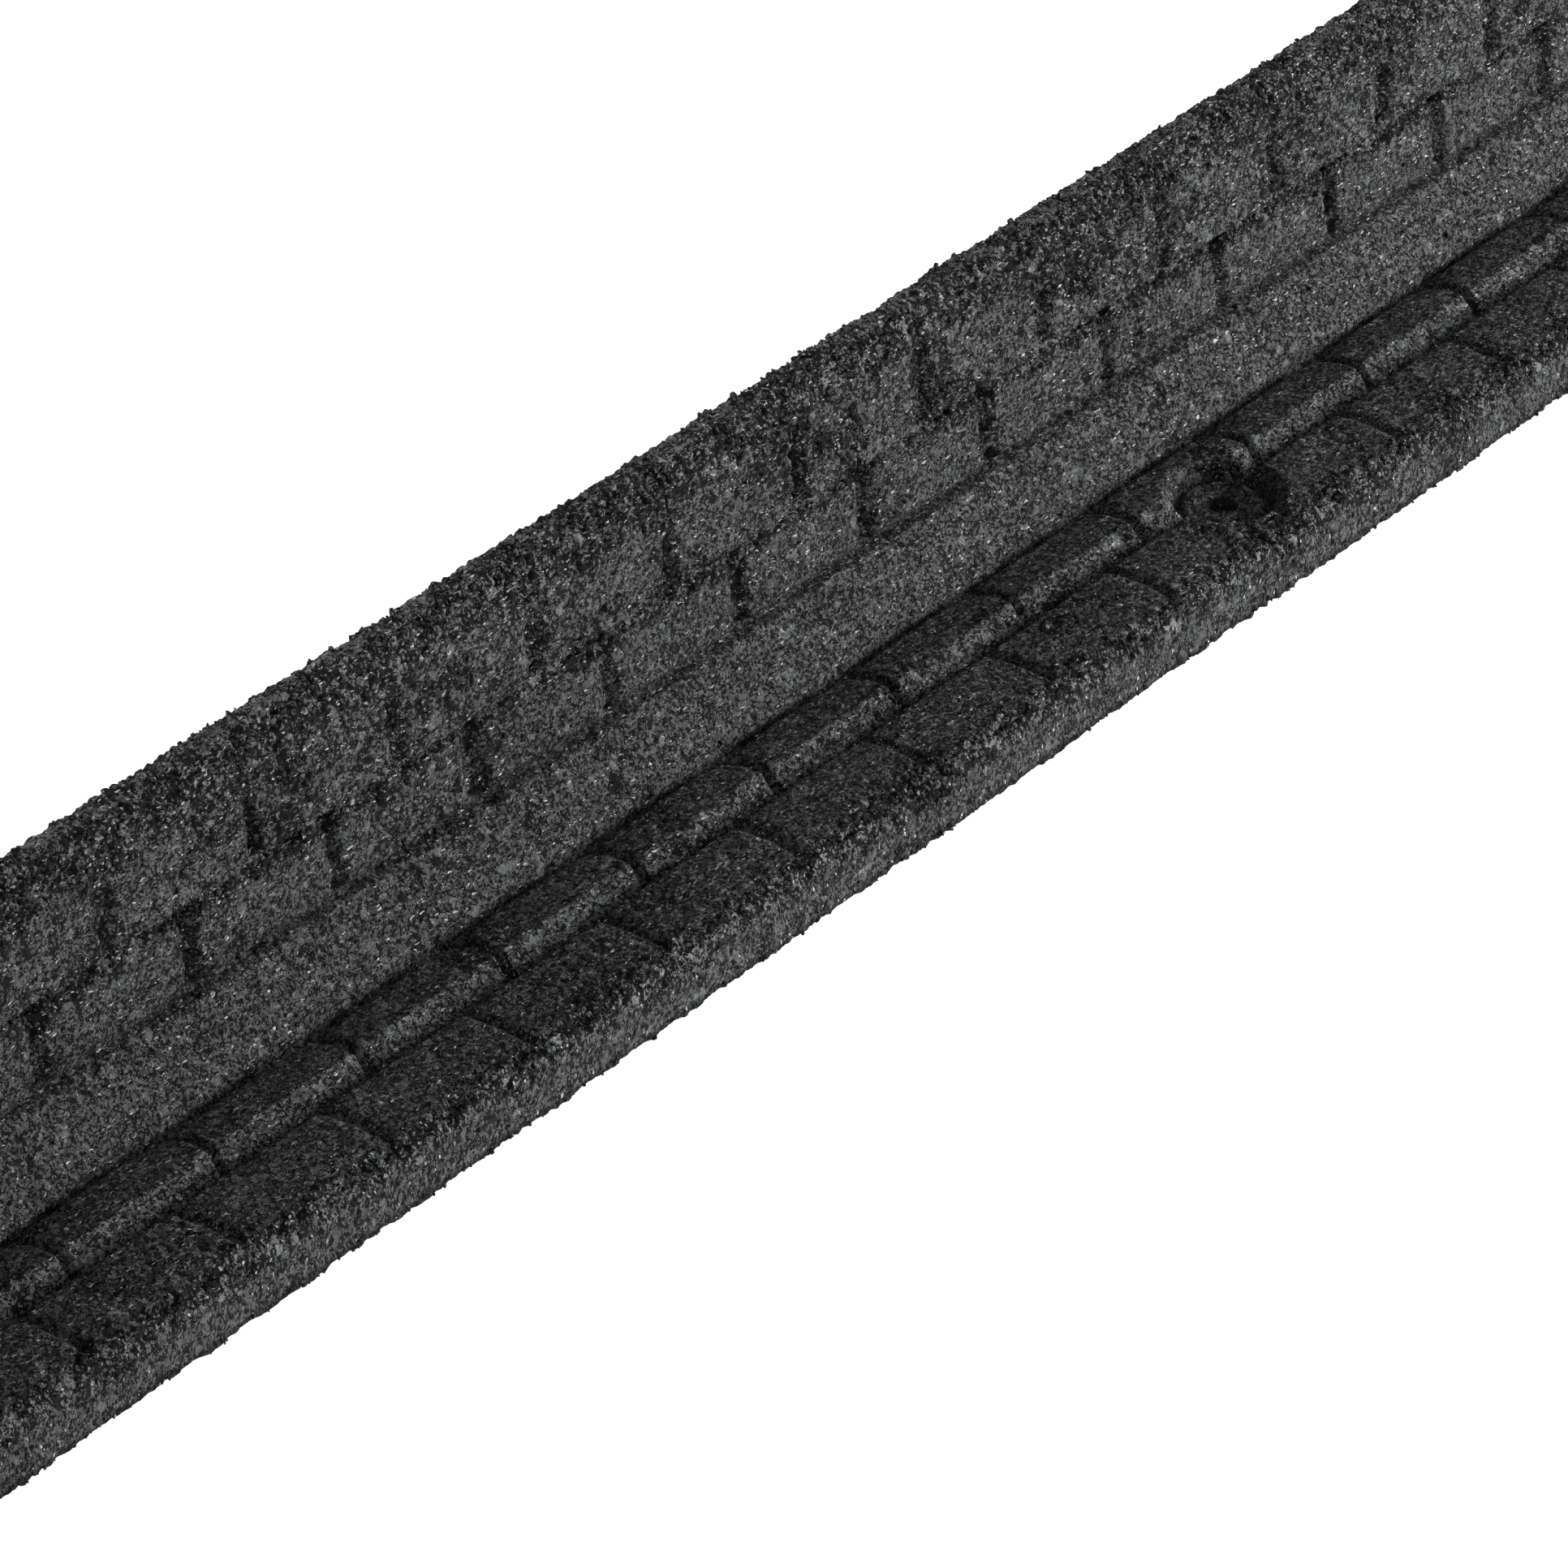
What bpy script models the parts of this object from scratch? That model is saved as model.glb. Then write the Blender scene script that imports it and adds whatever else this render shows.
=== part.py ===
"""Landscape edging strip with its ground spikes.

The strip is one L-shaped moulding of bonded crumb rubber: a wall with two courses of bricks on a sloped
plinth, and a flange in front of it with two rows of pavers. Counterbored holes along the flange take steel
spikes, which pull straight up out of them.

The strip runs along X. The flange reaches towards -Y, the wall stands at +Y, and Z is up. The origin is on the
ground under the foot of the wall, halfway along the strip.
"""

import math

import bmesh
import bpy

# Driving dimensions, in metres.
STRIP_LENGTH = 1.2192
BRICK_COUNT = 30
STRIP_HEIGHT = 0.0762
FLANGE_HEIGHT = 0.0156
FRONT_Y = -0.0406
BACK_Y = 0.0252

BRICK = STRIP_LENGTH / BRICK_COUNT
HALF_LENGTH = STRIP_LENGTH / 2

# The flange: an outer row of pavers, a groove, an inner row with a bevelled front edge, and the wall groove.
FRONT_DRAFT = 0.0007
FRONT_RADIUS = 0.004
ROW_GROOVE_Y = -0.0181
ROW_GROOVE_HALF_WIDTH = 0.0012
ROW_GROOVE_FLOOR_Z = FLANGE_HEIGHT - 0.0037
PAVER_BEVEL_Z = FLANGE_HEIGHT - 0.0024
PAVER_BEVEL_WIDTH = 0.0038
WALL_GROOVE_HALF_WIDTH = 0.0012
WALL_GROOVE_FLOOR_Z = FLANGE_HEIGHT - 0.0038

# The wall: a sloped plinth, then two courses of bricks that lean back a little, under a rounded top.
PLINTH_Y = 0.0108
PLINTH_Z = 0.0286
COURSE_GROOVE_HEIGHT = 0.0014
COURSE_GROOVE_DEPTH = 0.0016
LOWER_COURSE_TOP_Z = 0.0478
LOWER_COURSE_LEAN = 0.0024
UPPER_COURSE_Y = 0.0124
UPPER_COURSE_TOP_Z = 0.0664
UPPER_COURSE_LEAN = 0.0022
TOP_BACK_RADIUS = 0.0048

# Joints between bricks and pavers are V-shaped grooves. Each row's joints are offset along the strip.
WALL_JOINT_WIDTH = 0.0046
WALL_JOINT_DEPTH = 0.0022
PAVER_JOINT_WIDTH = 0.0036
PAVER_JOINT_DEPTH = 0.0018
HALF_BOND = 0.5 * BRICK
OUTER_ROW_OFFSET = 0.1 * BRICK
CUTTER_PROUD = 0.004

# The spike holes: a tapered recess for the head, and a through hole for the shank.
HOLE_SPACING = 10 * BRICK
MIDDLE_HOLE_X = 0.0024
HOLE_Y = ROW_GROOVE_Y - 0.0013
RECESS_RADIUS_TOP = 0.0136
RECESS_RADIUS_FLOOR = 0.0104
RECESS_FLOOR_Z = FLANGE_HEIGHT - 0.0042
SHANK_HOLE_RADIUS = 0.0036
CUTTER_SIDES = 32

# The spikes. A spike's head sits on the floor of its recess with a small gap.
SPIKE_LENGTH = 0.2032
SPIKE_RADIUS = 0.00318
SPIKE_HEAD_RADIUS = 0.0079
SPIKE_HEAD_RIM = 0.0016
SPIKE_HEAD_HEIGHT = 0.0034
SPIKE_POINT_LENGTH = 0.012
SPIKE_SIDES = 24
SEAT_GAP = 0.0003

ARC_STEPS = 4


def clear_scene():
    for obj in list(bpy.data.objects):
        bpy.data.objects.remove(obj, do_unlink=True)


def make_material(name, colour, roughness, metallic=0.0):
    material = bpy.data.materials.new(name)
    material.use_nodes = True
    shader = material.node_tree.nodes["Principled BSDF"]
    shader.inputs["Base Color"].default_value = (*colour, 1.0)
    shader.inputs["Roughness"].default_value = roughness
    shader.inputs["Metallic"].default_value = metallic
    return material


def add_object(name, mesh_builder, material=None):
    """A new object named name, whose mesh is what mesh_builder(bm) makes."""
    bm = bmesh.new()
    mesh_builder(bm)
    bmesh.ops.recalc_face_normals(bm, faces=bm.faces)
    mesh = bpy.data.meshes.new(name)
    bm.to_mesh(mesh)
    bm.free()
    obj = bpy.data.objects.new(name, mesh)
    bpy.context.scene.collection.objects.link(obj)
    if material:
        mesh.materials.append(material)
    return obj


def arc(centre, radius_y, radius_z, start_deg, end_deg):
    """Points in the YZ plane along an arc of an ellipse, both ends included."""
    points = []
    for step in range(ARC_STEPS + 1):
        angle = math.radians(start_deg + (end_deg - start_deg) * step / ARC_STEPS)
        points.append((centre[0] + radius_y * math.cos(angle), centre[1] + radius_z * math.sin(angle)))
    return points


def flange_outline():
    """From the foot of the front face, over both rows of pavers, to the far side of the wall groove."""
    front_top_y = FRONT_Y + FRONT_DRAFT
    corner = (front_top_y + FRONT_RADIUS, FLANGE_HEIGHT - FRONT_RADIUS)
    points = [(FRONT_Y, 0.0)]
    points += arc(corner, FRONT_RADIUS, FRONT_RADIUS, 180, 90)
    points += [
        (ROW_GROOVE_Y - ROW_GROOVE_HALF_WIDTH, FLANGE_HEIGHT),
        (ROW_GROOVE_Y - ROW_GROOVE_HALF_WIDTH / 2, ROW_GROOVE_FLOOR_Z),
        (ROW_GROOVE_Y + ROW_GROOVE_HALF_WIDTH / 2, ROW_GROOVE_FLOOR_Z),
        (ROW_GROOVE_Y + ROW_GROOVE_HALF_WIDTH, PAVER_BEVEL_Z),
        (ROW_GROOVE_Y + ROW_GROOVE_HALF_WIDTH + PAVER_BEVEL_WIDTH, FLANGE_HEIGHT),
        (-WALL_GROOVE_HALF_WIDTH, FLANGE_HEIGHT),
        (-WALL_GROOVE_HALF_WIDTH / 2, WALL_GROOVE_FLOOR_Z),
        (WALL_GROOVE_HALF_WIDTH / 2, WALL_GROOVE_FLOOR_Z),
        (WALL_GROOVE_HALF_WIDTH, FLANGE_HEIGHT),
    ]
    return points


def wall_outline():
    """From the top of the plinth, up both courses and over the rounded top, to the top of the back face."""
    lower_face_top_y = PLINTH_Y + LOWER_COURSE_LEAN
    upper_face_top_y = UPPER_COURSE_Y + UPPER_COURSE_LEAN
    groove_half = COURSE_GROOVE_HEIGHT / 2
    back_corner = (BACK_Y - TOP_BACK_RADIUS, STRIP_HEIGHT - TOP_BACK_RADIUS)
    front_radius_y = back_corner[0] - upper_face_top_y
    front_radius_z = STRIP_HEIGHT - UPPER_COURSE_TOP_Z
    points = [
        (PLINTH_Y, PLINTH_Z - groove_half),
        (PLINTH_Y + COURSE_GROOVE_DEPTH, PLINTH_Z),
        (PLINTH_Y, PLINTH_Z + groove_half),
        (lower_face_top_y, LOWER_COURSE_TOP_Z - groove_half),
        (lower_face_top_y + COURSE_GROOVE_DEPTH, LOWER_COURSE_TOP_Z + groove_half),
        (UPPER_COURSE_Y, LOWER_COURSE_TOP_Z + 2 * groove_half),
    ]
    points += arc((back_corner[0], UPPER_COURSE_TOP_Z), front_radius_y, front_radius_z, 180, 90)
    points += arc(back_corner, TOP_BACK_RADIUS, TOP_BACK_RADIUS, 90, 0)[1:]
    return points


def strip_outline():
    return flange_outline() + wall_outline() + [(BACK_Y, 0.0)]


def build_strip_body(bm):
    outline = strip_outline()
    ends = []
    for x in (-HALF_LENGTH, HALF_LENGTH):
        ends.append([bm.verts.new((x, y, z)) for y, z in outline])
    for end in ends:
        bm.faces.new(end)
    count = len(outline)
    for index in range(count):
        following = (index + 1) % count
        bm.faces.new((ends[0][index], ends[0][following], ends[1][following], ends[1][index]))


def add_wedge(bm, x, start, end, outward, width, depths):
    """A V-shaped prism across the strip at x, from start to end in the YZ plane.

    Its sharp edge lies depths[0] and depths[1] below start and end, and its wide side stands proud of them.
    """
    rings = []
    for (y, z), depth in zip((start, end), depths):
        proud_half = width / 2 * (depth + CUTTER_PROUD) / depth
        top_y = y + outward[0] * CUTTER_PROUD
        top_z = z + outward[1] * CUTTER_PROUD
        rings.append(
            (
                bm.verts.new((x, y - outward[0] * depth, z - outward[1] * depth)),
                bm.verts.new((x - proud_half, top_y, top_z)),
                bm.verts.new((x + proud_half, top_y, top_z)),
            )
        )
    for ring in rings:
        bm.faces.new(ring)
    for index in range(3):
        following = (index + 1) % 3
        bm.faces.new((rings[0][index], rings[0][following], rings[1][following], rings[1][index]))


def joint_positions(offset):
    """Where a row's joints lie along the strip, leaving out any within a joint's width of its ends."""
    positions = [offset + BRICK * number for number in range(-BRICK_COUNT, BRICK_COUNT)]
    return [x for x in positions if abs(x) < HALF_LENGTH - WALL_JOINT_WIDTH]


def build_joint_cutters(bm):
    groove = COURSE_GROOVE_HEIGHT / 2
    lean_out = (-1.0, 0.0)
    upward = (0.0, 1.0)
    lower_top_y = PLINTH_Y + LOWER_COURSE_LEAN
    upper_top_y = UPPER_COURSE_Y + UPPER_COURSE_LEAN
    depth = WALL_JOINT_DEPTH
    for x in joint_positions(0.0):
        start = (PLINTH_Y, PLINTH_Z + groove * 0.4)
        end = (lower_top_y, LOWER_COURSE_TOP_Z + groove * 0.4)
        add_wedge(bm, x, start, end, lean_out, WALL_JOINT_WIDTH, (depth, depth))
    for x in joint_positions(HALF_BOND):
        start = (UPPER_COURSE_Y, LOWER_COURSE_TOP_Z + groove * 1.6)
        end = (upper_top_y, UPPER_COURSE_TOP_Z + 2 * groove)
        add_wedge(bm, x, start, end, lean_out, WALL_JOINT_WIDTH, (depth, depth / 2))
    for x in joint_positions(HALF_BOND):
        start = (ROW_GROOVE_Y, FLANGE_HEIGHT)
        end = (0.0, FLANGE_HEIGHT)
        depths = (PAVER_JOINT_DEPTH * 1.6, PAVER_JOINT_DEPTH)
        add_wedge(bm, x, start, end, upward, PAVER_JOINT_WIDTH, depths)
    for x in joint_positions(OUTER_ROW_OFFSET):
        if min(abs(x - hole_x) for hole_x in hole_positions()) < RECESS_RADIUS_TOP:
            continue
        start = (ROW_GROOVE_Y, FLANGE_HEIGHT)
        end = (FRONT_Y + FRONT_RADIUS / 2, FLANGE_HEIGHT)
        depths = (PAVER_JOINT_DEPTH, PAVER_JOINT_DEPTH / 2)
        add_wedge(bm, x, start, end, upward, PAVER_JOINT_WIDTH, depths)


def hole_positions():
    return [MIDDLE_HOLE_X + HOLE_SPACING * number for number in (-1, 0, 1)]


def add_turned(bm, x, y, profile, sides):
    """A closed solid turned about the vertical through (x, y), from (radius, z) points going up.

    A radius of 0 at either end makes a point there. Otherwise that end is capped flat.
    """
    rings = []
    for radius, z in profile:
        if radius == 0:
            rings.append([bm.verts.new((x, y, z))])
            continue
        ring = []
        for side in range(sides):
            angle = 2 * math.pi * side / sides
            ring.append(bm.verts.new((x + radius * math.cos(angle), y + radius * math.sin(angle), z)))
        rings.append(ring)
    for low, high in zip(rings, rings[1:]):
        for side in range(sides):
            following = (side + 1) % sides
            if len(low) == 1:
                bm.faces.new((low[0], high[following], high[side]))
            elif len(high) == 1:
                bm.faces.new((low[side], low[following], high[0]))
            else:
                bm.faces.new((low[side], low[following], high[following], high[side]))
    for ring in (rings[0], rings[-1]):
        if len(ring) > 1:
            bm.faces.new(ring)


def build_hole_cutters(bm):
    taper = (RECESS_RADIUS_TOP - RECESS_RADIUS_FLOOR) / (FLANGE_HEIGHT - RECESS_FLOOR_Z)
    proud_radius = RECESS_RADIUS_TOP + taper * CUTTER_PROUD
    profile = [
        (SHANK_HOLE_RADIUS, -CUTTER_PROUD),
        (SHANK_HOLE_RADIUS, RECESS_FLOOR_Z),
        (RECESS_RADIUS_FLOOR, RECESS_FLOOR_Z),
        (proud_radius, FLANGE_HEIGHT + CUTTER_PROUD),
    ]
    for x in hole_positions():
        add_turned(bm, x, HOLE_Y, profile, CUTTER_SIDES)


def cut(obj, name, mesh_builder):
    """Cuts what mesh_builder makes out of obj, with a hidden cutter."""
    cutter = add_object(name, mesh_builder)
    cutter.hide_render = True
    cutter.display_type = "WIRE"
    modifier = obj.modifiers.new(name, "BOOLEAN")
    modifier.operation = "DIFFERENCE"
    modifier.solver = "EXACT"
    modifier.object = cutter


def make_strip():
    rubber = make_material("crumb_rubber", (0.045, 0.047, 0.048), 0.85)
    strip = add_object("edging_strip", build_strip_body, rubber)
    cut(strip, "joint_cutters", build_joint_cutters)
    cut(strip, "hole_cutters", build_hole_cutters)


def build_spike(bm):
    """A spike along its own Z, with the underside of its head at 0."""
    profile = [
        (0, -SPIKE_LENGTH),
        (SPIKE_RADIUS, -SPIKE_LENGTH + SPIKE_POINT_LENGTH),
        (SPIKE_RADIUS, 0.0),
        (SPIKE_HEAD_RADIUS, 0.0),
        (SPIKE_HEAD_RADIUS, SPIKE_HEAD_RIM),
        (SPIKE_HEAD_RADIUS * 0.72, SPIKE_HEAD_HEIGHT * 0.85),
        (SPIKE_HEAD_RADIUS * 0.3, SPIKE_HEAD_HEIGHT),
    ]
    add_turned(bm, 0.0, 0.0, profile, SPIKE_SIDES)


def make_spikes():
    steel = make_material("galvanised_steel", (0.56, 0.57, 0.58), 0.42, 1.0)
    left_x, _, right_x = hole_positions()
    for name, x in (("ground_spike_left", left_x), ("ground_spike_right", right_x)):
        spike = add_object(name, build_spike, steel)
        spike.location = (x, HOLE_Y, RECESS_FLOOR_Z + SEAT_GAP)
        spike.data.shade_smooth()
        spike.data.set_sharp_from_angle(angle=math.radians(35))


clear_scene()
make_strip()
make_spikes()
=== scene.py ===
"""Looks of the landscape edging strip: crumb rubber with its brick relief, and galvanised ground spikes.

The strip is rebuilt here as one fine mesh: an outline in the YZ plane is swept along X, bricks and pavers
are pressed into it, and bonded crumbs are added to its surface. Every size is in metres, in the CAD
model's frame.
"""

import itertools
import math

import bpy
import numpy as np
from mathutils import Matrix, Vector
from mathutils.geometry import tessellate_polygon


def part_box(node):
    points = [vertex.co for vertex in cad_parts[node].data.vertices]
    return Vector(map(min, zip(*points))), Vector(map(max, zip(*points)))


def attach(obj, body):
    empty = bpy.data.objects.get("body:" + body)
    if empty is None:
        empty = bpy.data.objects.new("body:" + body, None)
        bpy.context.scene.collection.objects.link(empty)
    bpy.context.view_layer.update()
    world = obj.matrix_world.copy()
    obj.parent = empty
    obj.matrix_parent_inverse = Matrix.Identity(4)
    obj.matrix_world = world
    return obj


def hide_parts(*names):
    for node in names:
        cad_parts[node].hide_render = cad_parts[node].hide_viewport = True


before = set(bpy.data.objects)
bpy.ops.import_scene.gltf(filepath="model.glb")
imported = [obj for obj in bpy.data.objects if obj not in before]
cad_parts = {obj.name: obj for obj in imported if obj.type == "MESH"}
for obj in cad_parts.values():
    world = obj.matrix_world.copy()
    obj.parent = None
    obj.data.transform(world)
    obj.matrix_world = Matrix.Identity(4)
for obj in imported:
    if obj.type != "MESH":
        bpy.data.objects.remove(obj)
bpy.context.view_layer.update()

MM = 0.001

# The strip's driving sizes come from the frame.
STRIP_LOW, STRIP_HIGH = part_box("edging_strip")
LEFT_X, FRONT_Y = STRIP_LOW[0], STRIP_LOW[1]
RIGHT_X, BACK_Y, TOP_Z = STRIP_HIGH[0], STRIP_HIGH[1], STRIP_HIGH[2]
BRICK_COUNT = 30
BRICK = (RIGHT_X - LEFT_X) / BRICK_COUNT

# Sizes of the CAD strip's section.
FLANGE_Z = 15.6 * MM
ROW_GROOVE_Y = -18.1 * MM
ROW_FLOOR_Z = FLANGE_Z - 3.7 * MM
WALL_FLOOR_Z = FLANGE_Z - 3.8 * MM
BEVEL_FOOT_Z = FLANGE_Z - 3.4 * MM
BEVEL_TOP_Y = ROW_GROOVE_Y + 5.9 * MM
PLINTH_Y = 10.8 * MM
PLINTH_Z = 28.6 * MM
LOWER_TOP_Y = 13.2 * MM
LOWER_TOP_Z = 47.8 * MM
UPPER_FOOT_Y = 12.4 * MM
UPPER_TOP_Y = 14.6 * MM

# How far along X each row's joints lie from the lower course's joints.
HALF_BOND = 0.5 * BRICK
OUTER_OFFSET = 0.1 * BRICK
JOINT_OFFSETS = (0.0, HALF_BOND, OUTER_OFFSET)

# (half width, depth) of the V that each row's joints are pressed as.
LOWER_JOINT = (3.1 * MM, 2.3 * MM)
UPPER_JOINT = (2.9 * MM, 2.0 * MM)
INNER_JOINT = (1.4 * MM, 2.1 * MM)
OUTER_JOINT = (1.7 * MM, 1.3 * MM)
# The upper course's joints close up between these heights.
JOINTS_FADE_Z = (58 * MM, 71 * MM)

# The spike holes lie on the spikes' axes, and the middle one halfway between them.
LEFT_SPIKE_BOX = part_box("ground_spike_left")
RIGHT_SPIKE_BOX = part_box("ground_spike_right")
SPIKE_TIP_Z, SPIKE_TOP_Z = LEFT_SPIKE_BOX[0][2], LEFT_SPIKE_BOX[1][2]
SPIKE_XS = [(box[0][0] + box[1][0]) / 2 for box in (LEFT_SPIKE_BOX, RIGHT_SPIKE_BOX)]
HOLE_Y = (LEFT_SPIKE_BOX[0][1] + LEFT_SPIKE_BOX[1][1]) / 2
HOLE_XS = [SPIKE_XS[0], sum(SPIKE_XS) / 2, SPIKE_XS[1]]
RECESS_TOP_RADIUS = 13.6 * MM
RECESS_FLOOR_RADIUS = 10.4 * MM
RECESS_FLOOR_Z = FLANGE_Z - 4.2 * MM
# A sunk ring lies round each recess's floor, and a raised ridge inside it; the ring gets painted shade and the
# ridge painted light.
MOAT_RADIUS, MOAT_WIDTH, MOAT_DEPTH = 10.1 * MM, 1.0 * MM, 1.3 * MM
RIDGE_RADIUS, RIDGE_WIDTH, RIDGE_HEIGHT = 8.7 * MM, 0.5 * MM, 0.25 * MM
SHANK_HOLE_RADIUS = 3.6 * MM
HOLE_RADII = (SHANK_HOLE_RADIUS, 3.3 * MM, SHANK_HOLE_RADIUS)
HOLE_SIDES = 48
HOLE_RINGS = 7

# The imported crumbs, the finer ones over them, the crevices between them, and the crumbs that stand out.
CRUMB_SIZE = 2.1 * MM
FINE_CRUMB_SIZE = 1.3 * MM
CREVICE_DEPTH = 0.55 * MM
CRUMB_COUNT = 6000
# Each crumb that stands out is an uneven icosahedron.
CHIP_POINTS = 12
GOLDEN_RATIO = (1 + math.sqrt(5)) / 2

# The strip and its crumbs go no lower than this, so they lie on the floor.
LOWEST_Z = 0.02 * MM
# How far the section shrinks towards both ends, which softens their edges.
END_INSET = 0.6 * MM

SPIKE_SIDES = 64
SPIKE_SHANK_RADIUS = 3.0 * MM
SPIKE_FLUTE_DEPTH = 0.35 * MM
SPIKE_FLUTE_TURN = 48 * MM
SPIKE_POINT_LENGTH = 12 * MM
SPIKE_NECK_LENGTH = 26 * MM
SPIKE_HEAD_RADIUS = (LEFT_SPIKE_BOX[1][0] - LEFT_SPIKE_BOX[0][0]) / 2
SPIKE_HEAD_HEIGHT = 3.4 * MM
# (share of the head's radius, height over its underside) up its rim, and the height where its dome starts.
SPIKE_HEAD_RIM = (
    *((0.5, 0.0), (0.75, 0.0), (0.95, 0.0), (0.985, 0.1 * MM)),
    *((1.0, 0.3 * MM), (1.0, 1.0 * MM), (0.99, 1.45 * MM), (0.97, 1.62 * MM)),
)
SPIKE_DOME_FOOT = 1.7 * MM

# Painted shade: how much darker each place is painted than a flat face, and below 0, painted light: how much
# lighter.
ROW_GROOVE_SHADE, WALL_GROOVE_SHADE = 1.4, 0.3
LOWER_GROOVE_SHADE, UPPER_GROOVE_SHADE = 1.9, -1.0
FOOT_SHADE, CREVICE_SHADE, HOLE_SHADE = 4.6, 3.0, 3.5
MOAT_SHADE, RIDGE_SHADE, SLOPE_SHADE = 2.2, -1.2, 0.6
BEVEL_SHADE, FRONT_EDGE_SHADE = -1.8, -4.8
UPPER_COURSE_SHADE, TOP_SHADE, TOP_EDGE_SHADE = -0.4, -1.8, -1.0
SHADE_STRENGTH = 0.2

RUBBER_COLOUR = (0.064, 0.068, 0.066, 1.0)
ZINC_COLOUR = (0.43, 0.45, 0.47, 1.0)
# The grey of the painted glints.
PAINTED_GLINT_TONE = 0.65

FLOOR_TONE, FLOOR_GLOW = 0.25, 0.95
# The sky's strength goes from the first value to the second between these heights of the view direction.
HORIZON_Z = (0.14, 0.3)
SKY_STRENGTH = (1.0, 0.3)

CAMERA_LENS = 164.887
CAMERA_AIM = (-0.143206, -0.018076, FLANGE_Z)
CAMERA_DISTANCE = 1.46658
CAMERA_AZIMUTH, CAMERA_ELEVATION = math.radians(-49.6256), math.radians(35.6349)

# Mesh spacing along the strip: finer on the stretch that the camera looks at.
FINE_STEP = 0.4 * MM
PLAIN_STEP = 0.65 * MM
COARSE_STEP = 1.15 * MM
FINE_FROM_X = -0.40
FINE_TO_X = 0.16
# The outline is measured in steps of this length before its points are spaced out.
DENSE_STEP = 0.05 * MM

ZONES = ("front", "outer", "inner", "plinth", "lower", "upper", "top", "back", "under")


def in_zone(zones, *names):
    """Which points lie in any of the named zones."""
    return np.isin(zones, [ZONES.index(name) for name in names])


def smooth_step(low, high, value):
    """0 below low, 1 above high, and a smooth rise between them."""
    t = np.clip((value - low) / (high - low), 0, 1)
    return t * t * (3 - 2 * t)


def bump_at(distance, width):
    """A bell curve: 1 where distance is 0, falling off over width."""
    return np.exp(-((distance / width) ** 2))


# -------- noise


def hashed(ix, iy, iz, seed):
    """A number from 0 to 1 for each integer lattice point, the same on every run."""
    with np.errstate(over="ignore"):
        h = ix.astype(np.uint32) * np.uint32(374761393)
        h = h + iy.astype(np.uint32) * np.uint32(668265263)
        h = h + iz.astype(np.uint32) * np.uint32(2147483647)
        h = h + np.uint32(seed) * np.uint32(1274126177)
        h = (h ^ (h >> np.uint32(13))) * np.uint32(1103515245)
        h = (h ^ (h >> np.uint32(16))) * np.uint32(2654435769)
        h = h ^ (h >> np.uint32(15))
    return (h & np.uint32(0xFFFFFF)).astype(np.float64) / float(0xFFFFFF)


def value_noise(points, size, seed):
    """Smooth noise from -1 to 1 with features about size across: one length, or one for each axis."""
    scaled = points / size
    base = np.floor(scaled).astype(np.int64)
    part = scaled - base
    part = part * part * (3 - 2 * part)
    total = np.zeros(len(points))
    for corner in itertools.product((0, 1), repeat=3):
        weight_x, weight_y, weight_z = np.abs(1 - np.array(corner) - part).T
        total += weight_x * weight_y * weight_z * hashed(*(base + corner).T, seed)
    return total * 2 - 1


def crumb_cells(points, size, seed):
    """(how much farther off the second nearest crumb's middle is, the nearest crumb's own random number)."""
    scaled = points / size
    base = np.floor(scaled).astype(np.int64)
    nearest = np.full(len(points), 9.0)
    second = np.full(len(points), 9.0)
    own = np.zeros(len(points))
    for step in itertools.product((-1, 0, 1), repeat=3):
        cell = (base + step).T
        square = np.zeros(len(points))
        for axis in range(3):
            middle = cell[axis] + hashed(*cell, seed + axis)
            square += (scaled[:, axis] - middle) ** 2
        away = np.sqrt(square)
        closer = away < nearest
        second = np.where(closer, nearest, np.minimum(second, away))
        own = np.where(closer, hashed(*cell, seed + 7), own)
        nearest = np.where(closer, away, nearest)
    return second - nearest, own


# -------- the strip's outline


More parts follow.
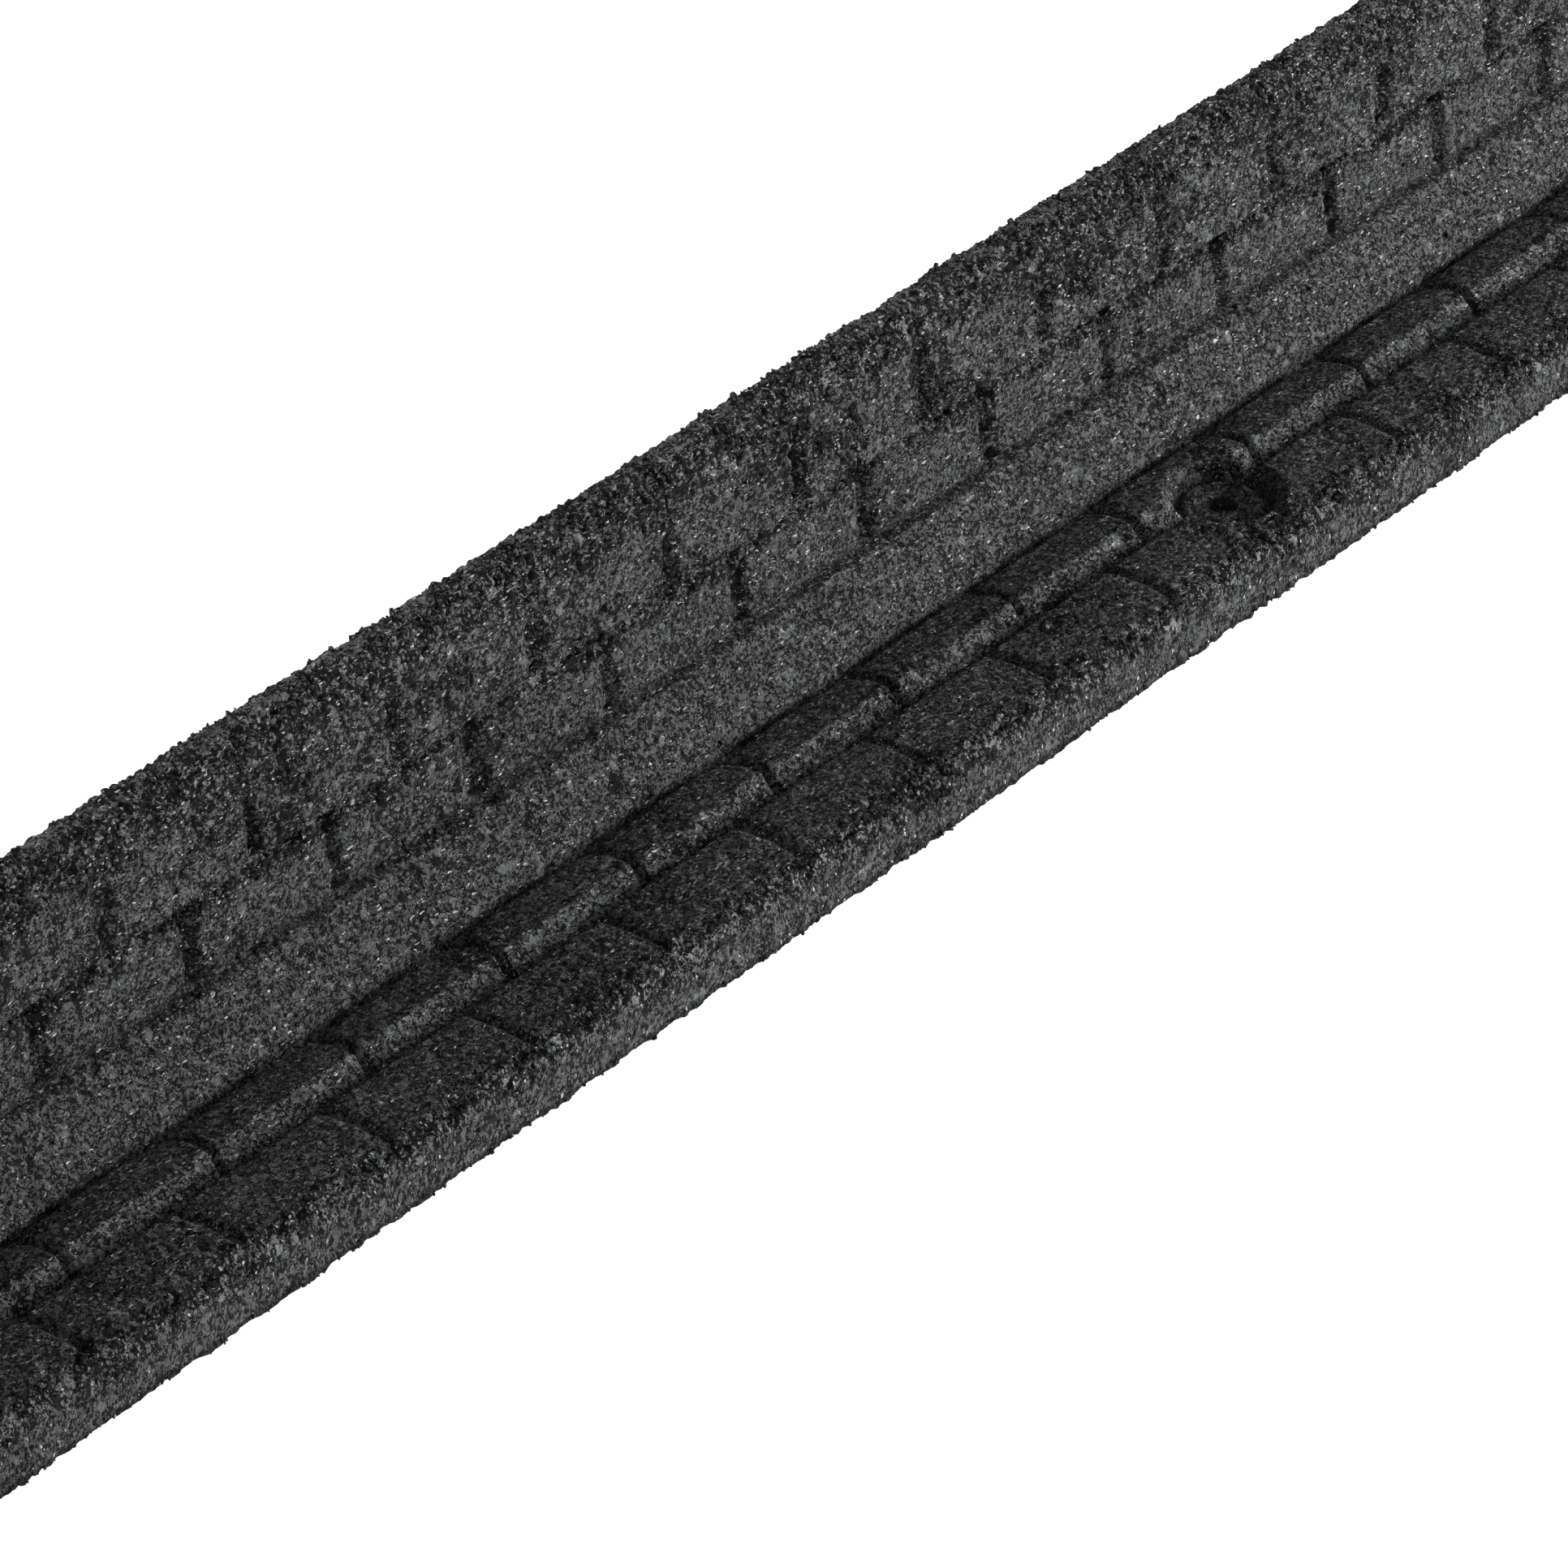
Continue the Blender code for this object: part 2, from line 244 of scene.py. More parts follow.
def outline_corners():
    """(y, z, corner radius, the zone that starts there), from the foot of the front face and round."""
    row_low, row_high = ROW_GROOVE_Y - 1.2 * MM, ROW_GROOVE_Y + 1.2 * MM
    plinth_middle = (5.6 * MM, 22.0 * MM)
    return [
        (FRONT_Y, 0.0, 1.0 * MM, "front"),
        (FRONT_Y + 0.7 * MM, FLANGE_Z, 6.2 * MM, "outer"),
        (row_low, FLANGE_Z - 0.1 * MM, 0.7 * MM, "outer"),
        (ROW_GROOVE_Y - 0.6 * MM, ROW_FLOOR_Z, 0.3 * MM, "outer"),
        (ROW_GROOVE_Y + 0.6 * MM, ROW_FLOOR_Z, 0.3 * MM, "inner"),
        (row_high, BEVEL_FOOT_Z, 0.5 * MM, "inner"),
        (BEVEL_TOP_Y, FLANGE_Z + 0.3 * MM, 0.6 * MM, "inner"),
        (-1.6 * MM, FLANGE_Z - 1.1 * MM, 1.2 * MM, "inner"),
        (-0.6 * MM, WALL_FLOOR_Z, 0.3 * MM, "inner"),
        (0.6 * MM, WALL_FLOOR_Z, 0.3 * MM, "plinth"),
        (1.2 * MM, FLANGE_Z - 0.4 * MM, 0.8 * MM, "plinth"),
        (*plinth_middle, 14.0 * MM, "plinth"),
        (PLINTH_Y - 0.2 * MM, PLINTH_Z - 0.6 * MM, 1.2 * MM, "plinth"),
        (PLINTH_Y + 2.6 * MM, PLINTH_Z + 0.1 * MM, 0.3 * MM, "plinth"),
        (PLINTH_Y + 2.5 * MM, PLINTH_Z + 0.7 * MM, 0.3 * MM, "lower"),
        (PLINTH_Y, PLINTH_Z + 3.2 * MM, 1.8 * MM, "lower"),
        (LOWER_TOP_Y, LOWER_TOP_Z - 0.9 * MM, 1.5 * MM, "lower"),
        (LOWER_TOP_Y + 1.5 * MM, LOWER_TOP_Z + 0.4 * MM, 0.3 * MM, "lower"),
        (LOWER_TOP_Y + 1.4 * MM, LOWER_TOP_Z + 0.7 * MM, 0.3 * MM, "upper"),
        (UPPER_FOOT_Y, LOWER_TOP_Z + 1.9 * MM, 0.9 * MM, "upper"),
        (UPPER_TOP_Y + 0.2 * MM, TOP_Z - 4.6 * MM, 7.0 * MM, "upper"),
        (UPPER_TOP_Y + 4.6 * MM, TOP_Z, 5.0 * MM, "top"),
        (BACK_Y, TOP_Z, 4.8 * MM, "back"),
        (BACK_Y, 0.0, 1.0 * MM, "under"),
    ]


def rounded_outline():
    """The outline as close points with their zones, each corner rounded over about its radius."""
    corners = outline_corners()
    count = len(corners)
    points = []
    zones = []
    for index in range(count):
        here = np.array(corners[index][:2])
        before = np.array(corners[index - 1][:2])
        after = np.array(corners[(index + 1) % count][:2])
        into = (here - before) / np.linalg.norm(here - before)
        out_of = (after - here) / np.linalg.norm(after - here)
        turn = math.acos(np.clip(into @ out_of, -1, 1))
        room = 0.48 * min(np.linalg.norm(here - before), np.linalg.norm(after - here))
        trim = min(corners[index][2] * math.tan(turn / 2), room)
        start, end = here - into * trim, here + out_of * trim
        zone_before, zone_here = ZONES.index(corners[index - 1][3]), ZONES.index(corners[index][3])
        for step in range(9):
            t = step / 8
            points.append((1 - t) ** 2 * start + 2 * t * (1 - t) * here + t * t * end)
            zones.append(zone_before if t < 0.5 else zone_here)
    return np.array(points), np.array(zones)


def outline_step(y, z, zone):
    """The mesh spacing wanted along the outline at a point."""
    name = ZONES[zone]
    if name == "under":
        return 3.0 * MM
    if name == "back":
        return 1.0 * MM
    if name in ("front", "outer", "inner", "upper"):
        return 0.5 * MM
    grooves = (
        (ROW_GROOVE_Y, ROW_FLOOR_Z + 1.5 * MM, 3.2 * MM),
        (0.0, WALL_FLOOR_Z + 1.5 * MM, 3.2 * MM),
        (PLINTH_Y, PLINTH_Z, 2.2 * MM),
        (LOWER_TOP_Y, LOWER_TOP_Z + 0.5 * MM, 2.6 * MM),
    )
    for groove_y, groove_z, reach in grooves:
        if math.hypot(y - groove_y, z - groove_z) < reach:
            return 0.32 * MM
    return 0.66 * MM


def sampled_outline():
    """(points, outward normals, zones), spaced as outline_step says."""
    rough, rough_zones = rounded_outline()
    closed = np.vstack([rough, rough[:1]])
    lengths = np.linalg.norm(np.diff(closed, axis=0), axis=1)
    along = np.concatenate([[0], np.cumsum(lengths)])
    dense_at = np.arange(0, along[-1], DENSE_STEP)
    dense = np.stack([np.interp(dense_at, along, closed[:, axis]) for axis in (0, 1)], axis=1)
    zone_at = rough_zones[np.clip(np.searchsorted(along, dense_at, side="right") - 1, 0, len(rough) - 1)]
    steps = np.array([outline_step(y, z, zone) for (y, z), zone in zip(dense, zone_at)])
    ticks = np.concatenate([[0], np.cumsum(DENSE_STEP / steps)])
    count = int(round(ticks[-1]))
    wanted = np.linspace(0, ticks[-1], count, endpoint=False)
    picked_at = np.interp(wanted, ticks[:-1], dense_at)
    points = np.stack([np.interp(picked_at, along, closed[:, axis]) for axis in (0, 1)], axis=1)
    zones = zone_at[np.clip(np.searchsorted(dense_at, picked_at), 0, len(dense_at) - 1)]
    tangents = np.roll(points, -1, axis=0) - np.roll(points, 1, axis=0)
    tangents /= np.linalg.norm(tangents, axis=1)[:, None]
    normals = np.stack([-tangents[:, 1], tangents[:, 0]], axis=1)
    return points, normals, zones


# -------- relief


def joint_distance(x, offset, wobble):
    """How far each point is along X from the nearest joint of a row."""
    phase = (x + wobble - offset) / BRICK
    return np.abs(phase - np.round(phase)) * BRICK


def vee(distance, half_width):
    """1 at the bottom of a joint, falling to 0 at its edges, with a slightly rounded foot."""
    t = np.clip(distance / half_width, 0, 1)
    return (1 - t) * (1 - 0.25 * np.exp(-((distance / (0.5 * MM)) ** 2)))


def joint_random(x, offset, seed):
    """A number from 0 to 1 for the joint nearest to each point."""
    index = np.round((x - offset) / BRICK).astype(np.int64)
    return hashed(index, np.zeros_like(index), np.zeros_like(index), seed)


def brick_random(x, offset, seed):
    """A number from 0 to 1 for the brick that each point is on."""
    return joint_random(x + BRICK / 2, offset + BRICK, seed)


def wall_joints(points, course, offset, joint, seed):
    """How deep the ragged V joints and the softened ends of one wall course lie at each point."""
    x = points[:, 0]
    half_width, depth = joint
    wobble = 0.6 * MM * value_noise(points, np.array([9, 7, 6]) * MM, seed)
    away = joint_distance(x, offset, wobble)
    own = joint_random(x, offset, seed + 1)
    half_width = half_width * (0.8 + 0.4 * own + 0.3 * value_noise(points, 3.5 * MM, seed + 2))
    pressed = depth * (0.75 + 0.4 * joint_random(x, offset, seed + 3)) * vee(away, half_width)
    softened = 0.3 * MM * np.exp(-away / (3.0 * MM))
    uneven = 0.5 * MM * (brick_random(x, offset, seed + 4) - 0.5)
    return np.where(course, pressed + softened + uneven, 0)


def brick_relief(points, zones):
    """How far inwards the joints and the rounded ends of bricks lie at each point, in metres."""
    x, y, z = points.T
    depth = wall_joints(points, in_zone(zones, "lower"), 0.0, LOWER_JOINT, 101)
    fade = 1 - smooth_step(*JOINTS_FADE_Z, z)
    depth += fade * wall_joints(points, in_zone(zones, "upper"), HALF_BOND, UPPER_JOINT, 111)

    wobble = 0.35 * MM * value_noise(points, np.array([9, 6, 6]) * MM, 11)
    inner = in_zone(zones, "inner") & (z > WALL_FLOOR_Z + 0.4 * MM)
    across = (y - ROW_GROOVE_Y / 2) / (ROW_GROOVE_Y / 2)
    away = joint_distance(x, HALF_BOND, wobble + 1.3 * MM * across**2)
    half_width, joint_depth = INNER_JOINT
    inner_depth = joint_depth * vee(away, half_width) + 0.1 * MM * np.exp(-away / (3.0 * MM))
    # A paver's back corners are rounded off, so the groove along the wall widens at each joint.
    corner = np.exp(-away / (4.5 * MM)) * smooth_step(-7 * MM, -1.5 * MM, y)
    inner_depth += 1.2 * MM * corner + 0.4 * MM * (brick_random(x, HALF_BOND, 13) - 0.5)
    depth += np.where(inner, inner_depth, 0)

    outer = in_zone(zones, "outer") & (z > ROW_FLOOR_Z + 0.4 * MM)
    away = joint_distance(x, OUTER_OFFSET, wobble + 1.0 * MM * ((y - FRONT_Y) / (10 * MM) - 1) ** 2)
    fade = smooth_step(FRONT_Y + 1.5 * MM, FRONT_Y + 8 * MM, y)
    half_width, joint_depth = OUTER_JOINT
    outer_depth = joint_depth * vee(away, half_width) + 0.4 * MM * np.exp(-away / (3.2 * MM))
    outer_depth += 0.4 * MM * (brick_random(x, OUTER_OFFSET, 14) - 0.5)
    depth += np.where(outer, fade * outer_depth, 0)

    # Each outer paver's top is a low pillow across its width as well.
    middle_y = (FRONT_Y + ROW_GROOVE_Y) / 2
    across = np.clip(np.abs(y - middle_y) / (ROW_GROOVE_Y - middle_y), 0, 1)
    depth += np.where(outer & (z > FLANGE_Z - 1.5 * MM), 0.5 * MM * across**3, 0)
    return depth


def crumb_height(points, loose):
    """(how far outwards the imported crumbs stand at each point, how deep in a crevice it lies from 0 to 1)."""
    gap, own = crumb_cells(points, CRUMB_SIZE, 21)
    fine_gap, fine_own = crumb_cells(points, FINE_CRUMB_SIZE, 41)
    height = 0.24 * MM * (np.clip(gap / 0.3, 0, 1) - 0.8) + 0.26 * MM * (own - 0.5)
    height += 0.12 * MM * (np.clip(fine_gap / 0.4, 0, 1) - 0.7) + 0.16 * MM * (fine_own - 0.5)
    height *= 0.42 + 1.6 * loose
    height += 0.12 * MM * value_noise(points, 14 * MM, 31)
    height += 0.08 * MM * value_noise(points, 4 * MM, 32)
    torn = smooth_step(-0.1, 0.5, value_noise(points, 3.5 * MM, 33)) * smooth_step(0.25, 0.8, loose)
    crevice = (1 - np.clip(gap / 0.3, 0, 1)) * torn
    return height - CREVICE_DEPTH * crevice, crevice


def flash_height(points, zones):
    """The ragged lip of crumbs that the press leaves along the bottom edges."""
    near_floor = 1 - smooth_step(0.4 * MM, 1.8 * MM, points[:, 2])
    side = in_zone(zones, "front", "back")
    along = points * (1, 0, 0)
    ragged = 0.5 * value_noise(along, 5.0 * MM, 51) + 0.5 * value_noise(along, 1.6 * MM, 52)
    return np.where(side, near_floor * np.clip(0.2 * MM + 0.65 * MM * ragged, -0.1 * MM, 0.9 * MM), 0)


def looseness(points, zones):
    """From 0 on flat pressed faces to 1 where crumbs are loosely bonded: edges, rims and the wall's top."""
    x, y, z = points.T
    lower, upper = in_zone(zones, "lower"), in_zone(zones, "upper")
    top = smooth_step(64 * MM, 72 * MM, z)
    front_edge = bump_at(y - FRONT_Y - 2.5 * MM, 3.5 * MM) * smooth_step(6 * MM, 12 * MM, z)
    bevel = np.where(in_zone(zones, "inner"), bump_at(y - BEVEL_TOP_Y + 1.5 * MM, 3 * MM), 0)
    ledge = np.where(lower, bump_at(z - LOWER_TOP_Z + 1.5 * MM, 2 * MM), 0)
    lower_ends = np.exp(-joint_distance(x, 0.0, 0.0) / (3 * MM))
    upper_ends = np.exp(-joint_distance(x, HALF_BOND, 0.0) / (3 * MM))
    ends = np.where(lower, lower_ends, np.where(upper, upper_ends, 0))
    patch = smooth_step(0.0, 0.7, value_noise(points, 12 * MM, 91))
    patch = patch * np.where(z > LOWER_TOP_Z, 1.0, 0.5)
    edges = 0.6 * top + 0.9 * front_edge + 0.1 * bevel + 0.9 * ledge + 0.5 * ends
    return np.clip(edges + 0.35 * upper + 0.4 * in_zone(zones, "back") + patch, 0, 1)


def press_recesses(points):
    """Lowers points to the dished recess round each hole, and returns the painted shade of each of them, below
    0 painted light.
    """
    shade = np.zeros(len(points))
    upward = points[:, 2] > 6 * MM
    for hole_x in HOLE_XS:
        radius = np.hypot(points[:, 0] - hole_x, points[:, 1] - HOLE_Y)
        near = upward & (radius < RECESS_TOP_RADIUS + 3 * MM) & (points[:, 2] < FLANGE_Z + 2 * MM)
        ragged = 0.35 * MM * value_noise(points[near], 3 * MM, 61)
        slope = (radius[near] + ragged - RECESS_FLOOR_RADIUS) / (RECESS_TOP_RADIUS - RECESS_FLOOR_RADIUS)
        dish = RECESS_FLOOR_Z + np.clip(slope, 0, 1.6) * (FLANGE_Z - RECESS_FLOOR_Z)
        dish += 0.12 * MM * value_noise(points[near], 2.2 * MM, 62)
        moat = bump_at(radius[near] + 0.5 * ragged - MOAT_RADIUS, MOAT_WIDTH)
        ridge = bump_at(radius[near] + 0.5 * ragged - RIDGE_RADIUS, RIDGE_WIDTH)
        dish += RIDGE_HEIGHT * ridge - MOAT_DEPTH * moat
        pressed = dish < points[near, 2]
        points[near, 2] = np.where(pressed, dish, points[near, 2])
        on_floor = radius[near] < RECESS_FLOOR_RADIUS
        points[near, 2] = np.where(on_floor, np.minimum(points[near, 2], dish), points[near, 2])
        # Painted shade in the sunk ring and on the slope, and painted light on the ridge.
        local = MOAT_SHADE * moat + RIDGE_SHADE * ridge + SLOPE_SHADE * (slope > 0)
        shade[near] += np.where(pressed | on_floor, local, 0)
    return shade


# -------- the strip's mesh


def station_step(x):
    """The mesh spacing wanted along the strip at x: fine at joints and holes, coarse where it runs plain."""
    near_joint = min(joint_distance(x, offset, 0.0) for offset in JOINT_OFFSETS)
    near_hole = min(abs(x - hole_x) for hole_x in HOLE_XS)
    seen = FINE_FROM_X < x < FINE_TO_X
    if near_hole < RECESS_TOP_RADIUS + 2 * MM or near_joint < 3 * MM:
        return FINE_STEP if seen else PLAIN_STEP
    return PLAIN_STEP if seen else COARSE_STEP


def station_xs():
    """Where the outline is repeated along the strip."""
    xs = [LEFT_X]
    while xs[-1] < RIGHT_X - COARSE_STEP:
        xs.append(xs[-1] + station_step(xs[-1]))
    return np.array(xs + [RIGHT_X])


def outward_shift(points, zones, relief, crumbs):
    """How far each point moves out along its normal: crumbs less relief, drawn in at the strip's ends."""
    from_end = np.minimum(points[:, 0] - LEFT_X, RIGHT_X - points[:, 0])
    height = (crumbs + flash_height(points, zones)) * smooth_step(-0.5 * MM, 1.5 * MM, from_end)
    shift = height - relief - END_INSET * np.exp(-from_end / (0.8 * MM))
    at_end = from_end < 0.01 * MM
    return np.where(in_zone(zones, "under"), 0, np.where(at_end, -END_INSET, shift))


def displaced(points, normals, zones, shift):
    """The points moved out by their shift and a little along X, with a slightly uneven underside."""
    under = in_zone(zones, "under")
    moved = points.copy()
    moved[:, 1:] += normals * shift[:, None]
    jitter = 0.12 * MM * value_noise(points, 1.7 * MM, 71)
    between_ends = (points[:, 0] > LEFT_X) & (points[:, 0] < RIGHT_X)
    moved[:, 0] += np.where(between_ends & ~under, jitter, 0)
    moved[:, 2] = np.maximum(moved[:, 2], LOWEST_Z)
    moved[under, 2] = LOWEST_Z + 0.15 * MM * (1 + value_noise(points[under], 2.4 * MM, 75))
    return moved


def shade_of(points, zones, relief, crevice, recess_shade):
    """How much painted shade darkens each point against a flat face, and below 0 how much painted light
    lightens it.
    """
    y, z = points[:, 1], points[:, 2]
    under = in_zone(zones, "under")
    # Painted shade in pressed joints and relief, darker the deeper they lie.
    shade = np.clip(relief / np.where(z > FLANGE_Z + 1 * MM, 4.5 * MM, 3.2 * MM), 0, 1)
    # Painted shade at the floors of the groove between the paver rows and the groove along the wall's foot.
    flange_grooves = (
        (ROW_GROOVE_Y, ROW_FLOOR_Z, ROW_GROOVE_SHADE),
        (0.0, WALL_FLOOR_Z, WALL_GROOVE_SHADE),
    )
    for floor_y, floor_z, dark in flange_grooves:
        depth = dark * (1 - smooth_step(0.2 * MM, 2.4 * MM, z - floor_z))
        near = np.abs(y - floor_y) < 1.6 * MM
        shade = np.maximum(shade, np.where(near & ~under, depth, 0))
    # Painted shade in the groove between the plinth and the lower course, and painted light where the upper
    # course steps back from the lower.
    course_grooves = (
        (PLINTH_Y + 2.5 * MM, PLINTH_Z + 0.4 * MM, LOWER_GROOVE_SHADE),
        (LOWER_TOP_Y + 1.5 * MM, LOWER_TOP_Z + 0.6 * MM, UPPER_GROOVE_SHADE),
    )
    for floor_y, floor_z, dark in course_grooves:
        away = np.hypot(y - floor_y, z - floor_z)
        shade += dark * (1 - smooth_step(0.8 * MM, 3.4 * MM, away))
    # Painted light on the inner pavers' bevels and round the flange's front edge.
    bevel = in_zone(zones, "inner") & (z > BEVEL_FOOT_Z) & (y < BEVEL_TOP_Y)
    from_front_edge = np.hypot(y - FRONT_Y - 1.5 * MM, z - FLANGE_Z + 1.5 * MM)
    shade += BEVEL_SHADE * bevel + FRONT_EDGE_SHADE * bump_at(from_front_edge, 3.2 * MM)
    # Painted light on the upper course, on the wall's top and round the top's front edge.
    shade += UPPER_COURSE_SHADE * (z > LOWER_TOP_Z) + TOP_SHADE * smooth_step(68 * MM, 74 * MM, z)
    from_top_edge = np.hypot(y - UPPER_TOP_Y - 2 * MM, z - TOP_Z + 2 * MM)
    shade += TOP_EDGE_SHADE * bump_at(from_top_edge, 4.5 * MM)
    # Painted shade and painted light from the recesses, and painted shade in torn crevices.
    shade += recess_shade + CREVICE_SHADE * crevice * ~under
    # Painted shade along the foot of the front face.
    foot = in_zone(zones, "front") * (1 - smooth_step(0.8 * MM, 2.6 * MM, z))
    return shade + FOOT_SHADE * foot


def grid_quads(rows, columns):
    """The faces between each row of points and the next, closed round into a tube."""
    row, column = np.meshgrid(np.arange(rows - 1), np.arange(columns), indexing="ij")
    beside = (column + 1) % columns
    here, following = row * columns, (row + 1) * columns
    corners = [here + column, following + column, following + beside, here + beside]
    return np.stack(corners, axis=-1).reshape(-1, 4)


def sweep_strip():
    """The strip's surface: (points, quads, each point's zone, shade and looseness, rows, points in a row)."""
    outline, normals, zones = sampled_outline()
    xs = station_xs()
    rows, columns = len(xs), len(outline)
    points = np.empty((rows, columns, 3))
    points[:, :, 0] = xs[:, None]
    points[:, :, 1:] = outline[None]
    points = points.reshape(-1, 3)
    normals = np.tile(normals, (rows, 1))
    zones = np.tile(zones, rows)
    relief = brick_relief(points, zones)
    loose = looseness(points, zones)
    crumbs, crevice = crumb_height(points, loose)
    moved = displaced(points, normals, zones, outward_shift(points, zones, relief, crumbs))
    recess_shade = press_recesses(moved)
    shade = shade_of(points, zones, relief, crevice, recess_shade)
    return moved, grid_quads(rows, columns), zones, shade, loose, rows, columns


def end_caps(points, rows, columns):
    """Triangles that close both ends of the sweep, each end's facing outwards."""
    faces = []
    for row, faces_right in ((0, False), (rows - 1, True)):
        ring = row * columns + np.arange(columns)
        polygon = [Vector((0, *points[index][1:])) for index in ring]
        triangles = ring[np.array(tessellate_polygon([polygon]))]
        a, b, c = (points[triangles[:, corner], 1:] for corner in range(3))
        doubled_area = np.cross(b - a, c - a).sum()
        faces += (triangles if (doubled_area > 0) == faces_right else triangles[:, ::-1]).tolist()
    return faces


# -------- building meshes


def linked(name, data):
    """A new object in the scene, made of data."""
    made = bpy.data.objects.new(name, data)
    bpy.context.scene.collection.objects.link(made)
    return made


def mesh_object(name, points, quads, triangles, smooth=True):
    """A mesh object from arrays of points, quads and triangles."""
    mesh = bpy.data.meshes.new(name)
    mesh.vertices.add(len(points))
    mesh.vertices.foreach_set("co", np.asarray(points, np.float32).ravel())
    corners = np.concatenate([np.asarray(quads, np.int32).ravel(), np.asarray(triangles, np.int32).ravel()])
    mesh.loops.add(len(corners))
    mesh.loops.foreach_set("vertex_index", corners)
    quad_count, triangle_count = len(quads), len(triangles)
    starts = np.concatenate([np.arange(quad_count) * 4, quad_count * 4 + np.arange(triangle_count) * 3])
    mesh.polygons.add(len(starts))
    mesh.polygons.foreach_set("loop_start", starts.astype(np.int32))
    mesh.polygons.foreach_set("use_smooth", np.full(len(starts), smooth))
    mesh.update(calc_edges=True)
    mesh.validate()
    return linked(name, mesh)


def put_attribute(mesh, name, values):
    """Gives each of the mesh's points a number that its material reads."""
    layer = mesh.attributes.new(name, "FLOAT", "POINT")
    layer.data.foreach_set("value", np.asarray(values, np.float32))


def round_points(axis_x, radii, angles, z):
    """Points round a hole's or a spike's axis."""
    parts = (axis_x + radii * np.cos(angles), HOLE_Y + radii * np.sin(angles), z)
    return np.stack(np.broadcast_arrays(*parts), axis=-1)


def ragged_radius(angles, hole_radius, hole_x):
    """The hole's radius at each angle: the middle hole is torn, and the ones round the spikes nearly true."""
    round_place = np.stack([np.cos(angles), np.sin(angles), np.full(len(angles), hole_x / MM)], axis=1)
    tear = 0.55 * MM if hole_radius < SHANK_HOLE_RADIUS else 0.15 * MM
    return hole_radius + tear * value_noise(round_place, 0.8, 85)


def rim_loop(removed, angle):
    """The rim of the removed quads as points in order of angle: (point numbers, their angles)."""
    starts = removed.ravel()
    ends = np.roll(removed, -1, axis=1).ravel()
    directed = set(zip(starts.tolist(), ends.tolist()))
    following = {a: b for a, b in directed if (b, a) not in directed}
    first = min(following, key=lambda point: angle[point])
    loop = [first]
    while following[loop[-1]] != first:
        loop.append(following[loop[-1]])
    loop = np.array(loop)
    if angle[loop[1]] - angle[loop[0]] > math.pi or np.median(np.diff(angle[loop])) < 0:
        loop = np.roll(loop[::-1], 1)
    return loop, np.maximum.accumulate(angle[loop])


def bore_hole(points, quads, zones, hole_x, hole_radius):
    """Opens the spike hole at hole_x: (points, quads outside the hole, the rims below and above)."""
    away = np.hypot(points[:, 0] - hole_x, points[:, 1] - HOLE_Y)
    low_side = in_zone(zones, "under")
    flat_side = (~low_side) & (points[:, 1] < 0) & (points[:, 1] > FRONT_Y + 2 * MM)
    angle = np.arctan2(points[:, 1] - HOLE_Y, points[:, 0] - hole_x)
    edge = ragged_radius(angle, hole_radius, hole_x)
    inside = (away < edge) & (low_side | flat_side)
    open_quads = inside[quads].all(axis=1)
    removed, kept = quads[open_quads], quads[~open_quads]
    loops = [rim_loop(removed[low_side[removed[:, 0]] == side], angle) for side in (True, False)]
    # The rim's points move out to the hole's edge, and other points inside it move just past it.
    past_edge = np.full(len(points), 0.12 * MM)
    for loop, _ in loops:
        past_edge[loop] = 0
    caught = np.unique(kept[inside[kept]])
    away_now = edge[caught] + past_edge[caught]
    points[caught, 0] = hole_x + np.cos(angle[caught]) * away_now
    points[caught, 1] = HOLE_Y + np.sin(angle[caught]) * away_now
    return points, kept, loops


def hole_wall(points, loops, hole_x, hole_radius):
    """Rings of new points down the hole, and triangles that join them to the openings above and below."""
    (low_ring, low_angles), (top_ring, top_angles) = loops
    angles = np.linspace(-math.pi, math.pi, HOLE_SIDES, endpoint=False)
    top_z = points[top_ring, 2].mean()
    new_points = []
    for level in range(HOLE_RINGS):
        z = top_z - (top_z - LOWEST_Z) * (level + 0.5) / HOLE_RINGS
        place = round_points(hole_x, 1.0, angles, z) * (0.004, 0.004, 1)
        rough = 0.12 * MM * value_noise(place, 2.0 * MM, 81)
        radius = ragged_radius(angles, hole_radius, hole_x) + 0.08 * MM + rough
        new_points.append(round_points(hole_x, radius, angles, z))
    first = len(points)
    triangles = []
    for level in range(HOLE_RINGS - 1):
        for side in range(HOLE_SIDES):
            beside = (side + 1) % HOLE_SIDES
            a, b = first + level * HOLE_SIDES + side, first + level * HOLE_SIDES + beside
            c, d = a + HOLE_SIDES, b + HOLE_SIDES
            triangles += [(a, b, c), (b, d, c)]
    top_new = first + np.arange(HOLE_SIDES)
    low_new = first + (HOLE_RINGS - 1) * HOLE_SIDES + np.arange(HOLE_SIDES)
    triangles += stitch(top_ring, top_angles, top_new, angles)
    triangles += [triangle[::-1] for triangle in stitch(low_ring, low_angles, low_new, angles)]
    return np.vstack([points] + new_points), triangles


def stitch(ring_a, angles_a, ring_b, angles_b):
    """Triangles between two rings of points that are sorted by angle."""
    triangles = []
    a, b = 0, 0
    count_a, count_b = len(ring_a), len(ring_b)
    turn = 2 * math.pi
    while a < count_a or b < count_b:
        next_a = angles_a[(a + 1) % count_a] + (turn if a + 1 >= count_a else 0)
        next_b = angles_b[(b + 1) % count_b] + (turn if b + 1 >= count_b else 0)
        here_a, here_b = ring_a[a % count_a], ring_b[b % count_b]
        if b >= count_b or (a < count_a and next_a <= next_b):
            triangles.append((here_a, ring_a[(a + 1) % count_a], here_b))
            a += 1
        else:
            triangles.append((here_a, ring_b[(b + 1) % count_b], here_b))
            b += 1
    return triangles


def without_strays(points, quads, triangles, *per_point):
    """Drops the points that no face uses, and renumbers the faces."""
    triangles = np.array(triangles)
    used = np.zeros(len(points), bool)
    used[quads.ravel()] = True
    used[triangles.ravel()] = True
    number = np.cumsum(used) - 1
    return (points[used], number[quads], number[triangles], *(values[used] for values in per_point))


